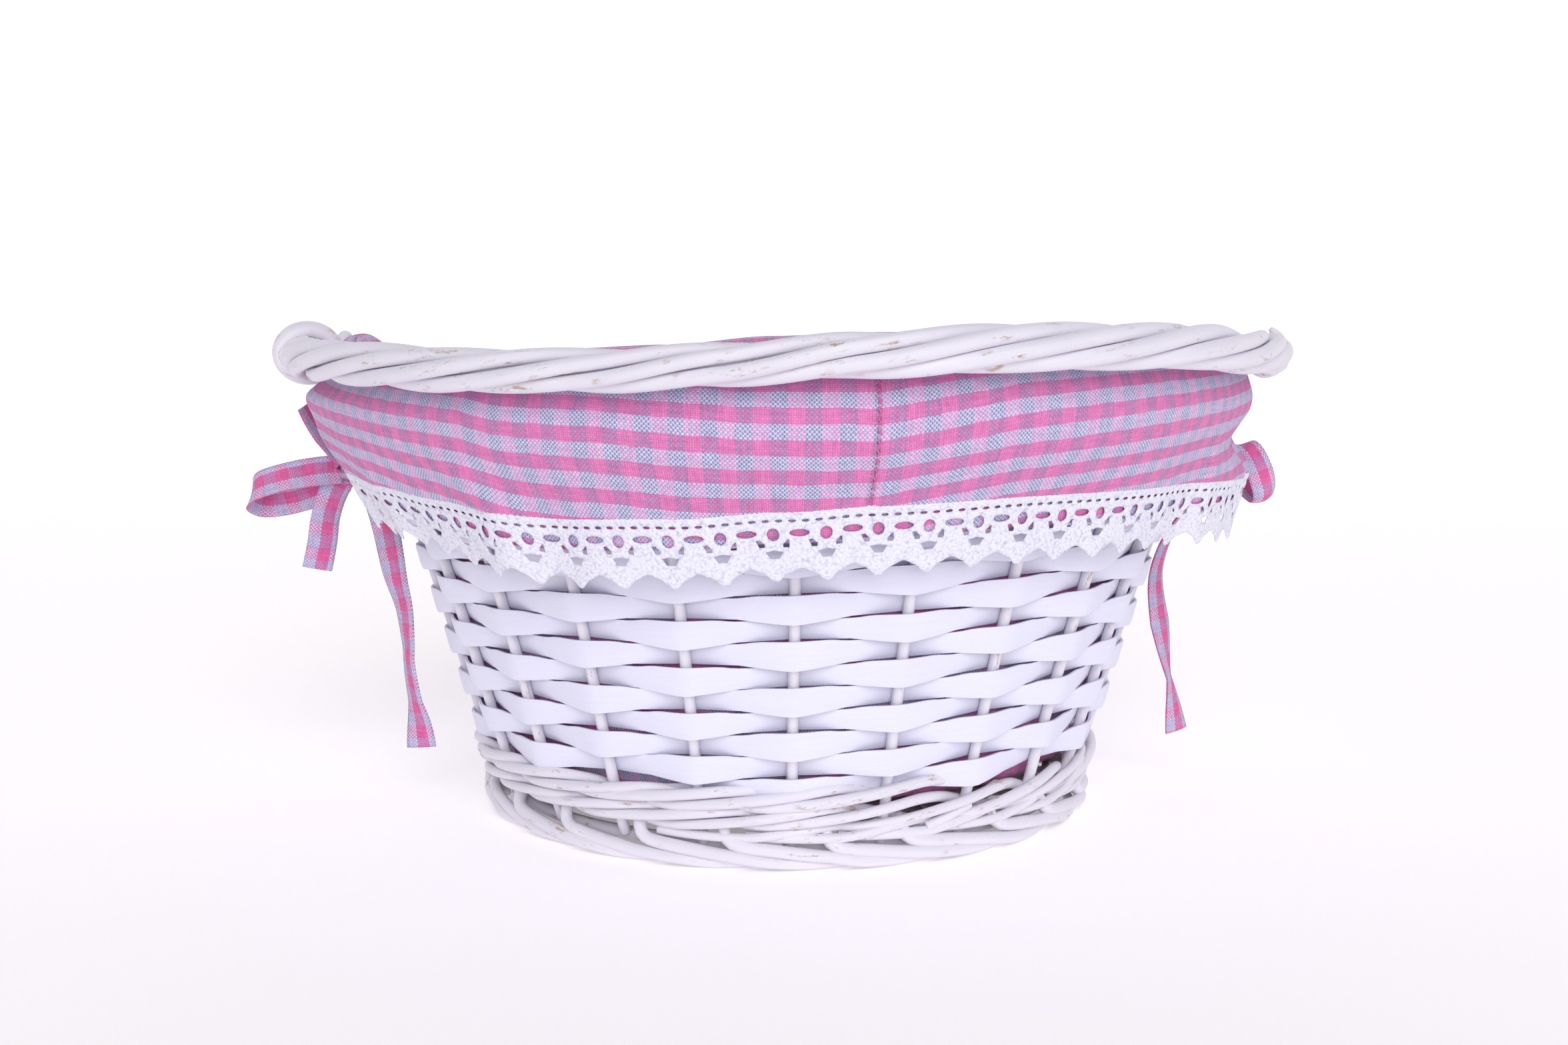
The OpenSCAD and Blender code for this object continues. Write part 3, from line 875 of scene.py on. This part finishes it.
# How far the skirt departs from its profile, by azimuth: the hem down and out, and two parts above it out
HEM_DROP = [(-90, 2.0), (-76, 1.9), (-58, 0.7), (-45, -1.5), (-28, -4.2), (-13, -3.0), (0, -0.7), (9, 0.7),
            (27, 2.0), (53, 1.6), (76, -0.4), (90, -0.6), (120, 0.3), (150, -1.7), (180, 0), (215, 1.2),
            (245, -0.3)]
HEM_OUT = [(-90, 5.0), (-76, 4.0), (-58, 2.5), (-40, 1.0), (-27, 0.3), (0, 0), (27, 0), (53, 2.0), (70, 8.0),
           (90, 12.5), (110, 3), (140, 0.5), (180, 0), (220, 0.5), (250, 3)]
BELLY = [(-90, 3.5), (-76, 4.6), (-55, 1.5), (-30, 0.2), (0, 0), (35, 0), (60, -0.5), (76, 0.3), (90, 0.5),
         (120, 0.5), (180, 0.2), (235, 0.4)]
WAIST = [(-90, 0), (-60, 0.3), (-30, 0), (40, 0), (60, -2), (76, -6.2), (90, -6), (115, 0), (180, -0.4),
         (250, -2)]
# Folds that run down the skirt: azimuth at the top and at the hem, where they start, height and half width
FOLDS = [(-49, -34, 0.25, 2.4, 3.2), (-41, -27, 0.45, -1.1, 3.0), (-66, -57, 0.3, 1.4, 2.6),
         (-79, -71, 0.1, 1.6, 2.2), (-84, -80, 0.3, 1.2, 1.5), (57, 61, 0.35, 1.5, 2.2),
         (69, 74, 0.2, 1.4, 2.4), (79, 83, 0.3, 1.9, 1.8), (25, 20, 0.5, 0.7, 5), (104, 98, 0.3, 1.5, 2.4),
         (118, 112, 0.4, 1.3, 3), (146, 140, 0.5, 0.9, 4), (168, 172, 0.4, 0.8, 5), (205, 210, 0.4, 1.2, 4),
         (232, 240, 0.3, 1.4, 3), (250, 258, 0.3, 1.5, 2.5)]
# Where these lie between the fold and the hem
BELLY_AT = [(0, 0), (0.14, 0), (0.32, 1), (0.6, 0.5), (1, 0)]
WAIST_AT = [(0, 0), (0.4, 0), (0.66, 1), (1, 0)]
LOWER_HALF = [(0, 0), (0.45, 0), (1, 1)]


def skirt_profile(column, dense):
    return interp(dense, [key[0] for key in SKIRT_LINE], [key[column] for key in SKIRT_LINE])


def skirt_point(azimuth, s):
    """A point on the skirt: s is 0 under the fold and 1 at the hem line, where the lace is sewn on."""
    azimuth, s = np.broadcast_arrays(azimuth, s)
    dense = linspace(0, 1, 61)
    r_line = skirt_profile(1, dense)
    r_line[3:-3] = np.convolve(r_line, np.ones(7) / 7, "valid")
    radius, z = interp(s, dense, r_line), interp(s, dense, skirt_profile(2, dense))
    low = eased(s, LOWER_HALF)
    for by_azimuth, by_share in ((BELLY, BELLY_AT), (WAIST, WAIST_AT), (HEM_OUT, LOWER_HALF)):
        radius = radius + eased(azimuth, by_azimuth, 360) * eased(s, by_share)
    z = z + eased(azimuth, HEM_DROP, 360) * s**1.5 + rim_dip(azimuth) * clip(1 - 1.6 * s, 0, 1)
    for top, bottom, start, height, width in FOLDS:
        off = turned_from(azimuth, top + (bottom - top) * s)
        radius = radius + height * bell(off, width) * eased(s, [(0, 0), (start, 0), (1, 1)])
    ripple = 0.35 * sin(radians(azimuth * 17 + 40 * sin(radians(azimuth * 3)))) * low
    return around(radius + ripple, azimuth, z)


def slit_at(s):
    """Half the slit's angle at the hinges: it closes towards the hem, where the ribbons pull it together."""
    return SLIT - 3.4 * eased(s, LOWER_HALF)


LACE_H = 21.0
LACE_BEHIND = 8.6  # how far the cloth goes on behind the lace
# How far the lace leans in, in degrees, by azimuth
LACE_LEAN = [(-90, 26), (-70, 28), (-52, 33), (-36, 18), (-20, 15), (10, 17), (50, 19), (76, 15), (90, 18),
             (180, 18)]


def lace_point(azimuth, drop, out=0.0):
    """A point on the lace: drop is how far below the hem line, and out how far outside, in millimetres."""
    azimuth, drop = np.broadcast_arrays(azimuth, drop)
    lean = radians(eased(azimuth, LACE_LEAN, 360))
    part = drop / LACE_H
    flutter = 1.1 * part**2 * sin(radians(azimuth * 11 + 60 * sin(radians(azimuth * 2.3))))
    flutter += 0.6 * part**2 * sin(radians(azimuth * 29))
    way = around(1.0, azimuth, 0.0)
    down = stack([way[..., 0] * -sin(lean), way[..., 1] * -sin(lean), -cos(lean)], -1)
    return skirt_point(azimuth, 1.0) + down * drop[..., None] + way * (flutter + out)[..., None]


# Each panel's first and last azimuth, and how far its checks slide down by azimuth, because the panels
# weren't cut along their rows
PANELS = {
    "front_left": (-90, FRONT_SEAM, [(-90, -20), (-60, -13.6), (-44, -10.6), (-36, -9.4), (-31, -6.9),
                                     (-19, -5.2), (-4, -1.4), (9, 0)]),
    "front_right": (FRONT_SEAM, 90, [(9, 0), (24, -6.2), (41, -9.8), (60, -13), (90, -20)]),
    "back_right": (90, BACK_SEAM, [(90, -7), (189, 0)]),
    "back_left": (BACK_SEAM, 270, [(189, 0), (270, -8)]),
}
SKIRT_R = 150  # the radius at which the skirt's checks have their width
CHECK_AT_SEAM = 1.4
TUCK = -0.9  # how far the cloth behind the lace lies outside it
SEAM_GAP = 0.03
SEAM_PULL = 0.55
SEAM_HALF = 0.45


def tilt_of_checks(azimuth, s, keys):
    """How far the checks have slid down at an azimuth; at the front they fan out towards the sides."""
    at, value = zip(*keys)
    fan = 1 + 0.5 * (s - 0.5) * clip((np.abs(azimuth) - 30) / 40, 0, 1) * (np.abs(azimuth) < 91)
    return interp(azimuth, at, value) * fan


def make_skirt():
    """Four panels, from the hinges to the seams, that go on behind the lace."""
    rows, behind = linspace(0, 1, 34), linspace(0, LACE_BEHIND, 8)[1:]
    s = concatenate([rows, np.ones(len(behind))])
    drop = concatenate([np.zeros(len(rows)), behind])
    share = linspace(0, 1, 130)
    for panel, (start, end, slide) in PANELS.items():
        first = start + (slit_at(s) if start in (-90, 90) else np.full(len(s), SEAM_GAP))
        last = end - (slit_at(s) if end in (90, 270) else np.full(len(s), SEAM_GAP))
        azimuth = first[None] + (last - first)[None] * share[:, None]
        points = skirt_point(azimuth, s[None])
        tucked = lace_point(azimuth, drop[None], TUCK)
        points = np.where((drop > 0)[None, :, None], tucked, points)
        seam = FRONT_SEAM if panel.startswith("front") else BACK_SEAM
        pull = SEAM_PULL * bell(azimuth - seam, SEAM_HALF) * (1 + 0.35 * sin(s * 90)[None])
        points = points - around(1.0, azimuth, 0.0) * pull[..., None]
        length = s * SKIRT_LENGTH + drop
        u = radians(azimuth - seam) * SKIRT_R + CHECK_AT_SEAM + (CHECK if panel.endswith("left") else 0)
        v = np.broadcast_to(length[None], azimuth.shape) - tilt_of_checks(azimuth, s[None], slide)
        shape = Shape()
        add_cloth(shape, points, stack([u, -v], -1), CLOTH_T)
        piece = dress(shape.object(f"skirt_{panel}_panel"), gingham, f"skirt_{panel}")


def make_seams():
    """Rows of short stitches over the skirt's front and back seams."""
    shape = Shape()
    for seam in (FRONT_SEAM, BACK_SEAM):
        out = around(1.0, seam, 0.0) * 0.05
        for k in range(15):
            s = 0.05 + k * 0.066
            ends = [skirt_point(seam + side * 0.16, s + side * 0.016) for side in (-1, 1)]
            path = [ends[0] + out * 0.2, (ends[0] + ends[1]) / 2 + out, ends[1] + out * 0.2]
            add_tube(shape, path, 0.28, 6, lengthwise=k * 9)
    dress(shape.object("seam_stitches"), seam_thread)


def make_liner_floor(floor_z, floor_r, rng):
    """The liner's round floor, with soft bumps."""
    turn = linspace(0, TAU, 181)
    ring = linspace(0.004, 1, 44)
    x, y = ring[None] * cos(turn)[:, None], ring[None] * sin(turn)[:, None]
    waves = rng.uniform((0.1, -9, -9, 0), (0.25, 9, 9, 6), (5, 4))
    bump = sum(a * sin(kx * x + ky * y + c) for a, kx, ky, c in waves)
    z = floor_z + 0.5 + bump * sin(np.pi * ring)[None] * 0.6
    points = stack([floor_r * x, floor_r * y, z], -1)
    points[-1] = points[0]
    shape = Shape()
    add_cloth(shape, points, points[..., :2].copy(), CLOTH_T)
    piece = dress(shape.object("liner_floor_cloth"), gingham, "liner_floor")


PLEATS = 34
LINER_R = 140  # the radius at which the liner's checks have their width
FOLD_LENGTH = 17
LINER_GAP = 6.1  # from the stakes' centre line to the liner
LIP_OPEN = 48  # where the fold over the border ends at the hinges and elsewhere, in degrees round the border
LIP_END = -31


def make_liner():
    """The liner: a round floor, and a wall that goes up inside the wicker and folds over the border."""
    floor_high = box_mm("liner_floor")[1]
    floor_z = floor_high[2] - 0.4
    rng = np.random.default_rng(37)
    make_liner_floor(floor_z, floor_high[0] - 0.8, rng)

    azimuth = linspace(-90, 270, 541)
    wall_z = concatenate([[floor_z + 0.6], linspace(floor_z + 2.5, BORDER_Z - 4, 46)])
    away = np.abs(np.mod(azimuth, 180) - 90)
    lip_end = eased(away, [(0, LIP_OPEN), (SLIT, LIP_OPEN), (SLIT + 1.2, LIP_END), (90, LIP_END)])
    share = linspace(0, 1, 30)
    fold = radians(180 + (lip_end[:, None] - 180) * share[None])
    fold_r = BORDER_R + FOLD_R * cos(fold)
    fold_z = BORDER_Z + FOLD_R * sin(fold) + rim_dip(azimuth)[:, None]
    in_r = stake_line(wall_z) - LINER_GAP
    shoulder = eased(wall_z, [(0, 0), (BORDER_Z - 17, 0), (BORDER_Z - 4, 1)])
    in_r = in_r + (BORDER_R - FOLD_R - in_r) * shoulder
    pleat = np.zeros((len(azimuth), len(wall_z)))
    height = (wall_z - wall_z[0]) / (wall_z[-1] - wall_z[0])
    fading = eased(height, [(0, 1), (0.35, 0.75), (0.8, 0.35), (1, 0.1)])[None]
    for k in range(PLEATS):
        centre = k * 360 / PLEATS + rng.uniform(-3, 3)
        lean, size, width = rng.uniform(-5, 5), rng.uniform(0.6, 2.2), rng.uniform(1.4, 3.0)
        off = turned_from(azimuth[:, None], centre + lean * height[None])
        pleat += size * bell(off, width) * fading
    radius = concatenate([in_r[None] - pleat, fold_r], 1)
    z = concatenate([wall_z[None] + rim_dip(azimuth)[:, None] * height[None] ** 2, fold_z], 1)
    # On its way up the wall stays inside the rim wale, and then it goes out over the border
    wale_top = RIM_WALE_Z + RIM_WALE_R
    outward = eased(z, [(0, 0), (wale_top + 0.4, 0), (wale_top + 3.2, 1), (500, 1)])
    inside = stake_line(z) - LINER_GAP + 4.0 * outward
    going_up = concatenate([np.ones(len(wall_z)), (share < 0.5)])[None] > 0
    radius = np.where(going_up, np.minimum(radius, inside), radius)
    points = around(radius, azimuth[:, None], z)
    points[-1] = points[0]
    length = concatenate([wall_z - wall_z[0], wall_z[-1] - wall_z[0] + share * FOLD_LENGTH + 2])
    shape = Shape()
    add_cloth(shape, points, uv_grid((radians(azimuth) * LINER_R)[:, None], length[None]), CLOTH_T)
    piece = dress(shape.object("liner_wall_cloth"), gingham, "liner_wall")


LACE_REPEATS = 30
LACE_W = 14.5
# The scalloped edge of one repeat, from valley to valley: across from the point, and down from the sewn edge
LACE_EDGE = [(-7.25, 16.6), (-6.2, 16.9), (-4.9, 17.7), (-3.5, 18.3), (-2.2, 19.5), (-1.1, 20.6), (0, 21.0),
             (1.0, 20.5), (2.0, 19.4), (3.3, 18.3), (4.7, 17.8), (6.1, 17.0)]
LACE_CUT = 4.3  # where one repeat ends and the next begins, right of the point, clear of the holes
LACE_GRID = 0.62
LACE_SEAM = 0.9  # how far the lace reaches up over the hem line
YARN_PITCH = (1.32, 1.24)  # the lumps of the crochet, across and down


def lace_holes():
    """The holes of one repeat: a round one, an oval, two small ones, a wide one and a row of slots."""
    def oval(x, y, a, b, count):
        t = arange(count) / count * TAU
        return stack([x + a * cos(t), y + b * sin(t)], -1)
    holes = [oval(0, 6.9, 1.7, 1.9, 12), oval(-LACE_W / 2, 6.4, 2.8, 1.1, 12),
             array([(-4.9, 8.4), (-3.8, 8.3), (-2.5, 9.7), (-2.6, 10.6), (-4.1, 10.6)]),
             array([(4.9, 8.4), (4.1, 10.6), (2.6, 10.6), (2.5, 9.7), (3.8, 8.3)]),
             array([(-2.5, 11.9), (0, 11.5), (2.5, 11.9), (1.3, 13.9), (-1.3, 13.9)])]
    return holes + [oval(LACE_W / 8 * k, 2.9, 1.05, 0.46, 8) for k in (-5, -3, -1, 1)]


def inside_loop(q, loop):
    """Which of the points q lie inside a closed outline."""
    x, y = q[:, 0], q[:, 1]
    hit = np.zeros(len(q), bool)
    for one, other in zip(loop, np.roll(loop, -1, 0)):
        cross = (one[1] > y) != (other[1] > y)
        with np.errstate(divide="ignore", invalid="ignore"):
            at = one[0] + (y - one[1]) * (other[0] - one[0]) / (other[1] - one[1])
        hit ^= cross & (x < at)
    return hit


def lace_repeat():
    """Points and triangles of one repeat of the lace, flat, and each point's distance to the nearest edge."""
    left = LACE_CUT - LACE_W
    edge = array(LACE_EDGE)
    xs = arange(left, LACE_CUT + 0.01, LACE_W / 22)
    period = concatenate([edge - [LACE_W, 0], edge, edge + [LACE_W, 0]])
    low = stack([xs, interp(xs, period[:, 0], period[:, 1])], -1)
    high = stack([xs, 0.22 * cos(xs / LACE_W * TAU * 8)], -1)
    sides = linspace(high[0, 1], low[0, 1], 22)[1:-1]
    right_side, left_side = [(LACE_CUT, y) for y in sides], [(left, y) for y in sides[::-1]]
    outline = concatenate([high, right_side, low[::-1], left_side])
    holes = lace_holes()
    points, edges = [], []
    for line in (outline, *holes):
        first = len(points)
        points.extend(map(tuple, line))
        edges.extend((first + i, first + i + 1) for i in range(len(line) - 1))
        edges.append((first + len(line) - 1, first))
    solid = concatenate([high, low, *holes])
    inner = [(left + (i + 0.5 * (j % 2)) * LACE_GRID, j * LACE_GRID * 0.9)
             for j in range(40) for i in range(25)]
    inner = array([q for q in inner if left + 0.25 < q[0] < LACE_CUT - 0.25
                   and 0.45 < q[1] < interp(q[0], xs, low[:, 1]) - 0.25])
    apart = np.linalg.norm(inner[:, None] - solid[None], axis=2).min(1)
    points.extend(map(tuple, inner[apart > 0.3]))
    out = delaunay_2d_cdt([Vector(q) for q in points], edges, [], 0, 1e-6)
    flat = array([tuple(q) for q in out[0]])
    triangles = array(out[2])
    middle = flat[triangles].mean(1)
    keep = inside_loop(middle, outline)
    for hole in holes:
        keep &= ~inside_loop(middle, hole)
    wrapped = concatenate([solid, solid - [LACE_W, 0], solid + [LACE_W, 0]])
    depth = np.linalg.norm(flat[:, None] - wrapped[None], axis=2).min(1)
    return flat, triangles[keep], depth


def make_lace():
    """A front and a back length of lace: the flat repeat in a row, bent to the hem and thickened."""
    flat, triangles, depth = lace_repeat()
    many = range(LACE_REPEATS)
    all_flat = concatenate([flat + [k * LACE_W, 0] for k in many])
    all_faces = concatenate([triangles + k * len(flat) for k in many])
    _, keep, same = np.unique(np.round(all_flat, 3), axis=0, return_index=True, return_inverse=True)
    q, gap, faces = all_flat[keep], np.tile(depth, LACE_REPEATS)[keep], same.reshape(-1)[all_faces]
    count = len(q)
    share = clip((q[:, 0] - q[:, 0].min()) / (LACE_W * LACE_REPEATS), 0, 1)
    shear = 0.6 * q[:, 1] / LACE_H * sin(np.pi * share)
    across, down = YARN_PITCH
    knot = cos(q[:, 0] * TAU / across) * cos(q[:, 1] * TAU / down + np.floor(q[:, 0] / across))
    rounded = 0.34 * np.sqrt(clip(gap / 0.7, 0, 1)) * (1 + 0.30 * knot)
    sides = np.sort(concatenate([faces[:, [0, 1]], faces[:, [1, 2]], faces[:, [2, 0]]]), axis=1)
    rims, times = np.unique(sides, axis=0, return_counts=True)
    rims = rims[times == 1]
    quads = stack([rims[:, 0], rims[:, 1], rims[:, 1] + count, rims[:, 0] + count], -1)
    both = concatenate([faces, faces + count])
    uv = np.tile(q, (2, 1))
    for name, start, end, seed in (("front", -87.0, 87.0, 41), ("back", 93.0, 267.0, 43)):
        half = 0.10 + rounded + np.random.default_rng(seed).uniform(-0.05, 0.05, count)
        azimuth = start + (end - start) * share + shear
        middle = lace_point(azimuth, q[:, 1] - LACE_SEAM, 0.25)
        out = around(1.0, azimuth, 0.0) * 0.96 + array([0, 0, -0.27])
        front, back = middle + out * half[:, None], middle - out * np.minimum(half, 0.3)[:, None]
        shape = Shape()
        shape.add(concatenate([front, back]), both, uv[both])
        shape.faces.extend(quads.tolist())
        shape.uvs.append(uv[quads].reshape(-1, 2))
        piece = dress(shape.object(f"lace_{name}_trim"), lace_cotton, f"lace_{name}")


# --- Ribbon ties ---

KNOT_R = 3.3
# Each knot: side, centre, and its two wraps of ribbon as lean and radius
KNOTS = [("left", (-151, 0, 111), [(25, 4.3), (-40, 4.0)]), ("right", (151, 0, 111), [(20, 4.3), (-35, 4.0)])]
# Each ribbon: piece, CAD node, length in metres, what it rests on, its line, the directions of its width, and
# its options
RIBBONS = [
    ("left_bow_loop", "tie_left_loop", 0.078, "left_knot_wraps",
     [(-153, -2, 111), (-161, -6, 110.5), (-171, -9, 108.8), (-180, -8, 105.8), (-184, -2, 101.8),
      (-181, 4, 98.8), (-171, 5, 100), (-161, 3, 103.4), (-153, 1, 107.5)],
     [(0, 0.2, 1), (0, 0.5, 1), (0.2, 0.3, 1), (0, -0.3, 1), (0, -0.2, 1)], {"count": 90}),
    ("left_short_tail", "tie_left_short_tail", 0.034, "left_knot_wraps",
     [(-153, 0, 109), (-156.5, -1, 102), (-159, -1, 94), (-160, -2, 86), (-162, -2, 76.5)],
     [(1, 0.4, 0), (1, 0.6, 0.1), (1, 0.2, 0)], {}),
    ("left_long_tail", "tie_left_long_tail", 0.097, "lace_front_trim",
     [(-139, -18, 112), (-137, -19, 104), (-134, -20, 93), (-131, -21, 77), (-128.3, -21, 66),
      (-127.2, -21, 54), (-127, -21, 47), (-126, -20.5, 38), (-124.4, -20, 28), (-123.6, -20, 18)],
     [(1, -0.3, 0), (1, -0.3, 0), (0.9, -0.44, 0), (0.68, -0.73, 0), (0.49, -0.87, 0), (0.6, -0.8, 0),
      (1, -0.1, 0)], {"count": 90}),
    ("left_tie_end", None, 0.023, "left_knot_wraps",
     [(-152, -2, 114), (-155.5, -4, 120), (-160, -6, 127), (-163.5, -7, 133)],
     [(0.3, 1, 0.2), (0.7, 1, 0.3), (0.3, 1, 0.1)], {"width": 9.0}),
    ("right_bow_loop", "tie_right_loop", 0.049, "right_knot_wraps",
     [(152.5, -1, 113), (155, -3, 118), (158, -6, 117), (161, -7.5, 111), (163, -6, 104.5), (163, -2, 101),
      (160.5, 2, 103), (157, 2.5, 108), (153, 1, 110)],
     [(0.8, 0.3, -0.5), (0.9, -0.1, 0.4), (1, -0.1, 0.4), (0.9, 0.5, 0.2), (0.8, 0.5, 0.2), (0.9, 0.3, 0.4)],
     {"count": 80, "cup": 1.1, "width": 8.6}),
    ("right_tail", "tie_right_tail", 0.099, "right_knot_wraps",
     [(149, 3, 109), (143, 5, 101), (136, 5, 92), (131, 5, 82), (129, 5, 70), (132, 5, 50), (135, 5, 34),
      (137.5, 5, 18)],
     [(0.6, 1, 0), (0.5, 1, 0), (0.7, 1, 0), (0.9, 0.8, 0), (0.3, 1, 0), (0.9, 0.6, 0)], {"count": 90}),
]


def make_knot(side, centre, wraps):
    """A tied knot: two short wraps of ribbon crossed over a gathered core."""
    shape = Shape()
    c = array(centre, float)
    for lean, size in wraps:
        a = math.radians(lean)
        along = array([0, math.cos(a), math.sin(a)])
        up = array([0, -math.sin(a), math.cos(a)])
        turns = radians(linspace(0, 350, 9))
        ring = [c + size * (array([1.0, 0, 0]) * math.cos(v) + up * math.sin(v)) for v in turns]
        add_ribbon(shape, ring, [along, along], thickness=0.8, count=40, width=7.0, cup=0.9, lengthwise=lean)
    u, v = np.meshgrid(linspace(0, TAU, 25)[:-1], linspace(0.02, math.pi - 0.02, 14), indexing="xy")
    core = KNOT_R * (1 + 0.10 * sin(5 * u + 3 * v))
    points = stack([c[0] + core * sin(v) * cos(u), c[1] + core * sin(v) * sin(u) * 1.15,
                    c[2] + core * cos(v) * 1.2], -1)
    uv = stack([u * KNOT_R, v * KNOT_R], -1)
    shape.tube(points, uv, (points[0].mean(0), points[-1].mean(0)), ((0, 0), (0, 0)))
    dress(shape.object(f"{side}_knot_wraps"), ribbon_gingham, f"tie_{side}_knot")


def make_ties():
    for knot in KNOTS:
        make_knot(*knot)
    for name, node, length, below, keys, ways, options in RIBBONS:
        shape = Shape()
        add_ribbon(shape, keys, ways, **options)
        piece = dress(shape.object(name), ribbon_gingham, node)


make_stakes()
make_skeins()
make_foot_wale()
make_foot_border()
make_rim()
make_base()
make_handle()
make_left_collar()
make_right_collar()
make_liner()
make_skirt()
make_seams()
make_lace()
make_ties()

for name in ("ear_left", "ear_right"):
    frame["nodes"][name].data.materials.clear()
    frame["nodes"][name].data.materials.append(rod_material)
